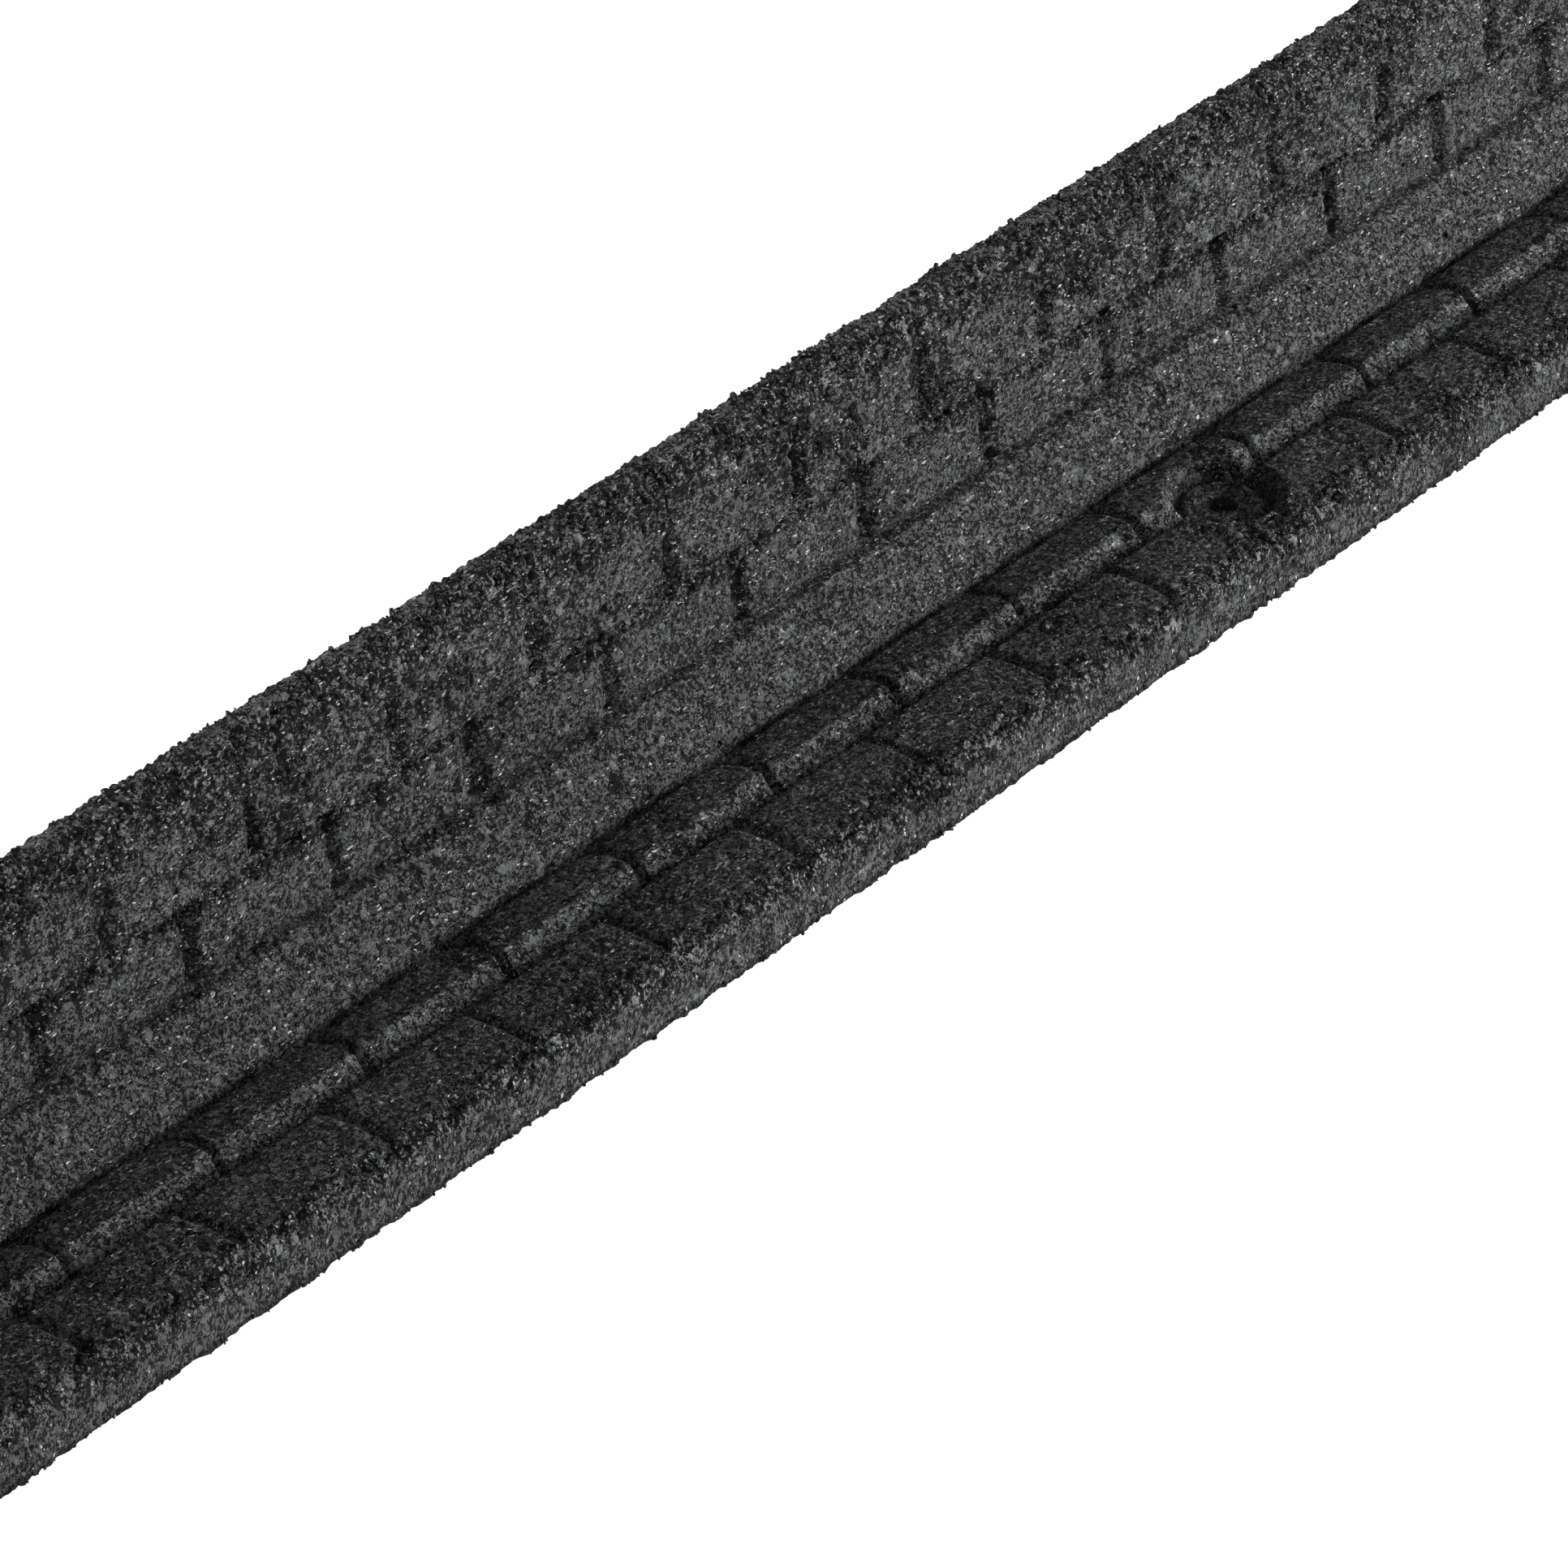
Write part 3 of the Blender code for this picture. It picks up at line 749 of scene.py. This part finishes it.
def make_strip():
    """The strip with its holes and ends, and the crumbs that stand out of it."""
    points, quads, zones, shade, loose, rows, columns = sweep_strip()
    triangles = end_caps(points, rows, columns)
    for hole_x, hole_radius in zip(HOLE_XS, HOLE_RADII):
        points, quads, loops = bore_hole(points, quads, zones, hole_x, hole_radius)
        points, wall = hole_wall(points, loops, hole_x, hole_radius)
        extra = len(points) - len(zones)
        zones = np.concatenate([zones, np.full(extra, ZONES.index("inner"))])
        # The hole's new walls are painted in shade.
        shade = np.concatenate([shade, np.full(extra, HOLE_SHADE)])
        loose = np.concatenate([loose, np.zeros(extra)])
        triangles += wall
    kept = without_strays(points, quads, triangles, zones, shade, loose)
    points, quads, triangles, zones, shade, loose = kept
    strip = mesh_object("crumb_rubber_strip", points, quads, triangles)
    strip.data.set_sharp_from_angle(angle=math.radians(50))
    put_attribute(strip.data, "shade", shade)
    round_edge = in_zone(zones, "outer") & (points[:, 1] < FRONT_Y + 5 * MM)
    put_attribute(strip.data, "streak", np.where(in_zone(zones, "front", "back") | round_edge, 1.0, 0.0))
    put_attribute(strip.data, "loose", loose)
    return strip, make_crumbs(points, zones)


# -------- loose crumbs


def icosahedron():
    """The 12 points and 20 faces of an icosahedron of radius 1."""
    points = []
    for a in (-1, 1):
        for b in (-GOLDEN_RATIO, GOLDEN_RATIO):
            points += [(0, a, b), (a, b, 0), (b, 0, a)]
    points = np.array(points) / math.hypot(1, GOLDEN_RATIO)
    faces = []
    side = np.linalg.norm(points[:, None] - points[None], axis=2)
    near = (side > 0.1) & (side < 1.2)
    for a, b, c in itertools.combinations(range(CHIP_POINTS), 3):
        if near[a, b] and near[b, c] and near[a, c]:
            outward = np.cross(points[b] - points[a], points[c] - points[a]) @ points[a] > 0
            faces.append((a, b, c) if outward else (a, c, b))
    return points, np.array(faces)


def random_turns(count, random):
    """Rotation matrices, evenly spread over all directions."""
    q = random.normal(size=(count, 4))
    w, x, y, z = (q / np.linalg.norm(q, axis=1)[:, None]).T
    rows = [
        [1 - 2 * (y * y + z * z), 2 * (x * y - z * w), 2 * (x * z + y * w)],
        [2 * (x * y + z * w), 1 - 2 * (x * x + z * z), 2 * (y * z - x * w)],
        [2 * (x * z - y * w), 2 * (y * z + x * w), 1 - 2 * (x * x + y * y)],
    ]
    return np.moveaxis(np.array(rows), 2, 0)


def crumb_mesh(name, places, sizes, random):
    """Angular crumbs: each an uneven 20-sided chip of its own size and turn, all in one object."""
    shape, faces = icosahedron()
    count = len(places)
    shapes = shape[None] * (1 + random.uniform(-0.35, 0.35, (count, CHIP_POINTS, 1)))
    shapes = shapes * random.uniform(0.55, 1.25, (count, 1, 3))
    shapes = np.einsum("nij,nkj->nki", random_turns(count, random), shapes)
    points = places[:, None] + shapes * sizes[:, None, None]
    points[:, :, 2] = np.maximum(points[:, :, 2], LOWEST_Z)
    triangles = (faces[None] + CHIP_POINTS * np.arange(count)[:, None, None]).reshape(-1, 3)
    crumbs = mesh_object(name, points.reshape(-1, 3), np.empty((0, 4)), triangles, False)
    tones = random.uniform(0, 1, count)
    at_foot = places[:, 2] < 2.5 * MM
    # The crumbs are painted darker than the faces, each by its own random tone, and those at the foot darker
    # still as painted shade.
    shade = np.where(at_foot, 3.4, 1.5) * (1 - 0.6 * tones)
    put_attribute(crumbs.data, "shade", np.repeat(shade, CHIP_POINTS))
    put_attribute(crumbs.data, "loose", np.repeat(0.6 * tones, CHIP_POINTS))
    return crumbs


def make_crumbs(points, zones):
    """Crumbs that stand out of the pressed surface: most at the foot, the front edge and the wall's top."""
    random = np.random.default_rng(7)
    y, z = points[:, 1], points[:, 2]
    back = in_zone(zones, "back")
    weight = np.where(in_zone(zones, "under"), 0, 0.05) + 0.5 * smooth_step(70 * MM, 75 * MM, z)
    weight += 1.5 * (in_zone(zones, "front") & (z < 1.8 * MM))
    weight += 0.6 * (in_zone(zones, "outer") & (y < FRONT_Y + 6 * MM))
    weight += 0.2 * back
    weight += 0.9 * (back & (z < 1.4 * MM))
    picked = random.choice(len(points), CRUMB_COUNT, replace=False, p=weight / weight.sum())
    sizes = (0.25 + 0.65 * random.uniform(0, 1, CRUMB_COUNT) ** 2) * MM
    sizes *= np.where(points[picked, 2] < 3 * MM, 0.7, 1.0)
    return crumb_mesh("bonded_crumbs", points[picked], sizes, random)


# -------- ground spikes


def spike_rings():
    """(z, radius, how square the section is, how deep its flutes are), from the point up to the dome."""
    head_z = SPIKE_TOP_Z - SPIKE_HEAD_HEIGHT
    point_top, neck_low = SPIKE_TIP_Z + SPIKE_POINT_LENGTH, head_z - SPIKE_NECK_LENGTH
    rings = []
    for step in range(13):
        t = step / 12
        radius = 0.2 * MM + (SPIKE_SHANK_RADIUS - 0.2 * MM) * t
        rings.append((SPIKE_TIP_Z + t * SPIKE_POINT_LENGTH, radius, 1 - t**3, 0.0))
    for z in np.arange(point_top + 0.8 * MM, neck_low, 0.8 * MM):
        ends = smooth_step(0, 8 * MM, min(z - point_top, neck_low - z))
        rings.append((z, SPIKE_SHANK_RADIUS + 0.15 * MM * ends, 0.0, float(ends)))
    for z in np.arange(neck_low, head_z - 1.2 * MM, 0.3 * MM):
        gripped = smooth_step(0, 2 * MM, head_z - 4 * MM - z) * smooth_step(0, 2 * MM, z - neck_low)
        ridge = 0.5 + 0.5 * math.cos(2 * math.pi * (z - neck_low) / (1.8 * MM))
        rings.append((z, SPIKE_SHANK_RADIUS + 0.16 * MM * gripped * ridge, 0.0, 0.0))
    for step in range(5):
        t = step / 4
        rings.append((head_z - (1 - t) * 1.1 * MM, SPIKE_SHANK_RADIUS + 0.17 * MM * t * t, 0.0, 0.0))
    for share, up in SPIKE_HEAD_RIM:
        rings.append((head_z + up, SPIKE_HEAD_RADIUS * share, 0.0, 0.0))
    for step in range(1, 15):
        quarter_turn = step / 15 * math.pi / 2
        rise = (SPIKE_HEAD_HEIGHT - SPIKE_DOME_FOOT) * math.sin(quarter_turn) ** 0.9
        radius = 0.965 * SPIKE_HEAD_RADIUS * math.cos(quarter_turn)
        rings.append((head_z + SPIKE_DOME_FOOT + rise, radius, 0.0, 0.0))
    return np.array(rings)


def make_spike(name, axis_x):
    """A forged nail: a diamond point, a twisted fluted shank, gripping rings and a low domed head."""
    rings = spike_rings()
    angles = np.linspace(-math.pi, math.pi, SPIKE_SIDES, endpoint=False)
    z, radius, square, fluted = (rings[:, column][:, None] for column in range(4))
    section = (1 - square) + square / (np.abs(np.cos(angles)) + np.abs(np.sin(angles)))
    turn = 2 * math.pi * (z - SPIKE_TIP_Z) / SPIKE_FLUTE_TURN
    flute = 0.5 - 0.5 * np.cos(4 * (angles - turn))
    radii = radius * section - SPIKE_FLUTE_DEPTH * fluted * flute**2
    places = (np.cos(angles), np.sin(angles), z / (4 * MM))
    places = np.stack(np.broadcast_arrays(*places), axis=-1).reshape(-1, 3)
    lumps = value_noise(places, 1.0, 201 if axis_x < 0 else 211).reshape(radii.shape)
    points = round_points(axis_x, radii * (0.994 + 0.006 * lumps), angles, z).reshape(-1, 3)
    count = len(rings)
    tip, crown = count * SPIKE_SIDES, count * SPIKE_SIDES + 1
    points = np.vstack([points, (axis_x, HOLE_Y, SPIKE_TIP_Z), (axis_x, HOLE_Y, SPIKE_TOP_Z)])
    quads = grid_quads(count, SPIKE_SIDES)[:, [0, 3, 2, 1]]
    last = (count - 1) * SPIKE_SIDES
    sides = range(SPIKE_SIDES)
    triangles = [(tip, (k + 1) % SPIKE_SIDES, k) for k in sides]
    triangles += [(crown, last + k, last + (k + 1) % SPIKE_SIDES) for k in sides]
    spike = mesh_object(name, points, quads, triangles)
    spike.data.set_sharp_from_angle(angle=math.radians(40))
    return spike


# -------- materials


class Nodes:
    """Short names for making a material's node tree."""

    def __init__(self, name):
        self.material = bpy.data.materials.new(name)
        self.material.use_nodes = True
        self.tree = self.material.node_tree
        self.tree.nodes.clear()
        self.shader = self.tree.nodes.new("ShaderNodeBsdfPrincipled")
        self.add("ShaderNodeOutputMaterial", {"Surface": self.shader.outputs["BSDF"]})

    def fill(self, socket, value):
        """Links a socket's source, or sets its value."""
        if isinstance(value, bpy.types.NodeSocket):
            self.tree.links.new(value, socket)
        else:
            socket.default_value = value

    def add(self, kind, inputs=(), **settings):
        """A new node's outputs. inputs pairs the names or numbers of its inputs with what fills them."""
        node = self.tree.nodes.new(kind)
        for key, value in settings.items():
            setattr(node, key, value)
        for key, value in dict(inputs).items():
            self.fill(node.inputs[key], value)
        return node.outputs

    def surface(self, inputs):
        """Fills inputs of the shader."""
        for key, value in inputs.items():
            self.fill(self.shader.inputs[key], value)

    def maths(self, operation, *values):
        return self.add("ShaderNodeMath", enumerate(values), operation=operation)[0]

    def times(self, first, *others):
        """The product of all the values."""
        for other in others:
            first = self.maths("MULTIPLY", first, other)
        return first

    def vector(self, operation, *values, output=0):
        return self.add("ShaderNodeVectorMath", enumerate(values), operation=operation)[output]

    def ramp(self, value, low, high, to_low=0.0, to_high=1.0):
        """A smooth step of value from low to high."""
        inputs = enumerate((value, low, high, to_low, to_high))
        return self.add("ShaderNodeMapRange", inputs, interpolation_type="SMOOTHSTEP")[0]

    def noise(self, place, size, detail=2.0):
        inputs = {"Vector": place, "Scale": 1 / size, "Detail": detail}
        return self.add("ShaderNodeTexNoise", inputs)

    def cells(self, place, size, feature="F1"):
        return self.add("ShaderNodeTexVoronoi", {"Vector": place, "Scale": 1 / size}, feature=feature)

    def mix(self, share, a, b, **settings):
        """A blend of two colours."""
        inputs = {"Factor": share, 6: a, 7: b}
        return self.add("ShaderNodeMix", inputs, data_type="RGBA", **settings)[2]

    def stretched(self, share, place, scales, other_scales):
        """The place stretched one way, or the other way where share is 1."""
        one, other = (self.vector("MULTIPLY", place, by) for by in (scales, other_scales))
        return self.add("ShaderNodeMix", {"Factor": share, 4: one, 5: other}, data_type="VECTOR")[1]

    def warped(self, place, size, reach):
        """The place shifted about by noise of a size, by up to half of reach."""
        warp = self.vector("SUBTRACT", self.noise(place, size)["Color"], (0.5, 0.5, 0.5))
        return self.vector("ADD", place, self.vector("MULTIPLY", warp, (reach,) * 3))

    def picks(self, colour):
        """A cell's three random numbers, from its colour."""
        return self.add("ShaderNodeSeparateColor", {0: colour})

    def bump(self, height):
        """Raises the surface by a height in metres."""
        inputs = {"Strength": 1.0, "Distance": 1.0, "Height": height}
        self.surface({"Normal": self.add("ShaderNodeBump", inputs)[0]})

    def attribute(self, name):
        return self.add("ShaderNodeAttribute", attribute_name=name)["Fac"]


def grey(value, warmth=0.0):
    """A grey, a little warmer where warmth is above 0."""
    return (value * (1 + warmth), value, value * (1 - warmth), 1.0)


def chips(n, place, size, slope, gap_width):
    """Crumbs about size across: (their tilted facets' height, 1 in the gaps, two random numbers)."""
    cell = n.cells(place, size)
    pick = n.picks(cell["Color"])
    from_middle = n.vector("SUBTRACT", place, cell["Position"])
    lean = n.vector("SUBTRACT", cell["Color"], (0.5, 0.5, 0.5))
    height = n.times(n.vector("DOT_PRODUCT", from_middle, lean, output="Value"), slope)
    edge = n.cells(place, size, "DISTANCE_TO_EDGE")["Distance"]
    gap = n.ramp(n.maths("SUBTRACT", edge, gap_width), -0.03, 0.03, 1.0, 0.0)
    return height, gap, pick[1], pick[2]


def crumb_rubber():
    """Pressed black crumb: flat grey facets with gaps painted dark as painted shade, a few painted glints, and
    smooth chips.
    """
    n = Nodes("crumb_rubber")
    place = n.add("ShaderNodeTexCoord")["Object"]
    streak, loose, shade = (n.attribute(name) for name in ("streak", "loose", "shade"))
    warped = n.warped(place, 1.3 * MM, 1.2 * MM)
    pressed = n.stretched(streak, warped, (0.8, 1.0, 1.0), (1.15, 1.15, 0.5))

    # Small crumbs everywhere, with short gaps; large ones with wide gaps where the crumb is loose.
    patchy = n.maths("MULTIPLY_ADD", loose, -0.03, n.noise(place, 1.1 * MM)[0])
    small_gap_width = n.ramp(patchy, 0.44, 0.6, -0.06, 0.16)
    small_height, small_gap, small_tone, _ = chips(n, pressed, 0.68 * MM, 1.0, small_gap_width)
    open_patchy = n.maths("MULTIPLY_ADD", loose, 0.2, n.noise(place, 3.0 * MM)[0])
    large_gap_width = n.ramp(open_patchy, 0.55, 0.75, -0.06, 0.17)
    large_height, large_gap, large_tone, large_pick = chips(n, warped, 1.7 * MM, 0.35, large_gap_width)
    blot = n.noise(pressed, 0.72 * MM, 1.0)[0]
    pitted = n.maths("ADD", n.times(loose, -0.04), n.maths("MULTIPLY_ADD", streak, -0.02, blot))
    hole = n.ramp(pitted, 0.375, 0.385, 1.0, 0.0)
    pinhole = n.ramp(n.noise(pressed, 0.5 * MM, 0.0)[0], 0.335, 0.35, 1.0, 0.0)
    hole = n.maths("MAXIMUM", hole, pinhole)

    # Large smooth chips have no gaps.
    chip = n.ramp(large_pick, 0.93, 0.95)
    gaps = n.maths("MAXIMUM", n.maths("MAXIMUM", small_gap, hole), large_gap)
    smooth_share = n.times(chip, n.maths("SUBTRACT", 1.0, large_gap))
    gaps = n.times(gaps, n.maths("SUBTRACT", 1.0, smooth_share))

    mottle = n.noise(place, 9 * MM, 3.0)[0]
    grain = n.noise(place, 0.33 * MM, 0.0)[0]
    tone = n.times(
        n.ramp(small_tone, 0.0, 1.0, 0.76, 1.46),
        n.ramp(large_tone, 0.0, 1.0, 0.88, 1.14),
        n.ramp(mottle, 0.3, 0.7, 0.95, 1.05),
        n.ramp(grain, 0.3, 0.7, 0.66, 1.34),
        n.maths("MULTIPLY_ADD", smooth_share, 0.3, 1.0),
    )

    # Painted glints: bright specks painted where light would catch crumb edges, most in loose crumb and fewest
    # on the front and back faces.
    painted_glint_cell = n.cells(n.stretched(streak, warped, (0.42, 1.6, 1.6), (1.3, 1.3, 0.55)), 0.62 * MM)
    painted_glint_pick = n.picks(painted_glint_cell["Color"])
    rarity = n.maths("MULTIPLY_ADD", streak, 0.075, n.maths("MULTIPLY_ADD", loose, -0.04, 0.87))
    painted_glint = n.ramp(n.maths("SUBTRACT", painted_glint_pick[0], rarity), 0.0, 0.01)
    reach = n.maths("MULTIPLY_ADD", painted_glint_pick[1], 0.35, 0.12)
    in_reach = n.ramp(n.maths("SUBTRACT", painted_glint_cell["Distance"], reach), 0.0, 0.12, 1.0, 0.0)
    painted_glint = n.times(painted_glint, in_reach, n.ramp(painted_glint_pick[2], 0.2, 1.0, 0.06, 1.0))

    # Painted shade darkens the colour, and below 0 painted light lightens it; the gaps and pits are painted
    # nearly black as painted shade.
    dark = n.maths("MULTIPLY_ADD", shade, -SHADE_STRENGTH, 1.0)
    tone = n.times(tone, n.times(dark, n.maths("MULTIPLY_ADD", gaps, -0.97, 1.0)))
    base = n.mix(1.0, RUBBER_COLOUR, tone, blend_type="MULTIPLY")
    colour = n.mix(painted_glint, base, grey(PAINTED_GLINT_TONE, 0.02))
    roughness = n.maths("SUBTRACT", n.maths("MULTIPLY_ADD", gaps, 0.25, 0.66), n.times(painted_glint, 0.2))
    n.surface({"Base Color": colour, "Roughness": roughness, "Specular IOR Level": 0.25})

    height = n.maths("MULTIPLY_ADD", gaps, -0.3 * MM, small_height)
    loose_share = n.maths("MULTIPLY_ADD", loose, 0.8, 0.1)
    height = n.maths("ADD", height, n.times(large_height, loose_share))
    n.bump(n.maths("ADD", height, n.times(grain, 0.1 * MM)))
    return n.material


def galvanised_steel():
    """Hot-dipped zinc: dull spangles of a few millimetres, with duller patches and fine pitting."""
    n = Nodes("galvanised_steel")
    place = n.add("ShaderNodeTexCoord")["Object"]
    pick = n.picks(n.cells(n.warped(place, 2.5 * MM, 1.5 * MM), 2.6 * MM)["Color"])
    patch = n.ramp(n.noise(place, 9 * MM, 3.0)[0], 0.4, 0.65)
    speck = n.ramp(n.noise(place, 0.5 * MM)[0], 0.3, 0.7)
    tone = n.times(
        n.ramp(pick[0], 0.0, 1.0, 0.8, 1.15),
        n.maths("MULTIPLY_ADD", patch, -0.22, 1.0),
        n.maths("MULTIPLY_ADD", speck, 0.16, 0.92),
    )
    colour = n.mix(1.0, ZINC_COLOUR, tone, blend_type="MULTIPLY")
    roughness = n.maths("ADD", n.ramp(pick[1], 0.0, 1.0, 0.34, 0.5), n.times(patch, 0.14))
    n.surface({"Base Color": colour, "Roughness": roughness, "Metallic": 0.85})
    grain = n.times(speck, 0.012 * MM)
    n.bump(n.maths("ADD", grain, n.times(pick[2], 0.02 * MM)))
    return n.material


# -------- floor, light and camera


def make_floor():
    """A plain pale floor that the strip lies on."""
    bpy.ops.mesh.primitive_plane_add(size=30, location=(0, 0, 0))
    floor = bpy.context.object
    floor.name = "studio_floor"
    n = Nodes("studio_floor")
    n.surface({"Base Color": grey(FLOOR_TONE), "Roughness": 1.0, "Specular IOR Level": 0.0})
    n.surface({"Emission Color": grey(1.0), "Emission Strength": FLOOR_GLOW})
    floor.data.materials.append(n.material)


def make_light(name, place, aim, size, power):
    """A soft rectangular lamp at a place, turned towards its aim. power is in watts."""
    data = bpy.data.lights.new(name, "AREA")
    data.shape = "RECTANGLE"
    data.size, data.size_y = size
    data.energy = power
    lamp = linked(name, data)
    lamp.location = place
    direction = Vector(aim) - Vector(place)
    lamp.rotation_mode = "QUATERNION"
    lamp.rotation_quaternion = direction.to_track_quat("-Z", "Y")


def make_world():
    """A pale studio: white round the horizon, where it meets the floor, and dimmer overhead."""
    world = bpy.data.worlds.new("studio")
    world.use_nodes = True
    nodes, links = world.node_tree.nodes, world.node_tree.links
    background = nodes["Background"]
    background.inputs["Color"].default_value = grey(1.0)
    split = nodes.new("ShaderNodeSeparateXYZ")
    links.new(nodes.new("ShaderNodeTexCoord").outputs["Generated"], split.inputs[0])
    fade = nodes.new("ShaderNodeMapRange")
    for socket, value in zip(fade.inputs[1:5], (*HORIZON_Z, *SKY_STRENGTH)):
        socket.default_value = value
    links.new(split.outputs["Z"], fade.inputs["Value"])
    links.new(fade.outputs[0], background.inputs["Strength"])
    bpy.context.scene.world = world
    bpy.context.scene.view_settings.view_transform = "Standard"


def make_camera():
    """The camera, set by the point it looks at, its distance, and two angles round that point."""
    data = bpy.data.cameras.new("camera")
    data.lens = CAMERA_LENS
    data.sensor_width = 36
    data.clip_start = 0.05
    data.clip_end = 50
    camera = linked("camera", data)
    level = math.cos(CAMERA_ELEVATION)
    back_x, back_y = math.sin(CAMERA_AZIMUTH) * level, -math.cos(CAMERA_AZIMUTH) * level
    back = Vector((back_x, back_y, math.sin(CAMERA_ELEVATION)))
    camera.location = Vector(CAMERA_AIM) + back * CAMERA_DISTANCE
    camera.rotation_mode = "QUATERNION"
    camera.rotation_quaternion = (-back).to_track_quat("-Z", "Y")
    bpy.context.scene.camera = camera


# -------- the scene

rubber = crumb_rubber()
strip, crumbs = make_strip()
for piece in (strip, crumbs):
    piece.data.materials.append(rubber)
    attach(piece, "strip")
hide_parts("edging_strip")

zinc = galvanised_steel()
for side, axis_x in zip(("left", "right"), SPIKE_XS):
    spike = make_spike("spike_" + side + "_forged", axis_x)
    spike.data.materials.append(zinc)
    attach(spike, "spike_" + side)
    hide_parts("ground_spike_" + side)

make_floor()
make_world()
make_light("key", (1.3, -1.05, 0.4), (-0.1, 0, 0.03), (0.8, 0.6), 38)
make_light("back_top", (-0.3, 1.5, 1.0), (-0.1, 0, 0.07), (1.2, 0.5), 18)
make_light("back_low", (-1.2, 1.5, 0.35), (-0.1, 0, 0.03), (0.9, 0.4), 10)
make_camera()
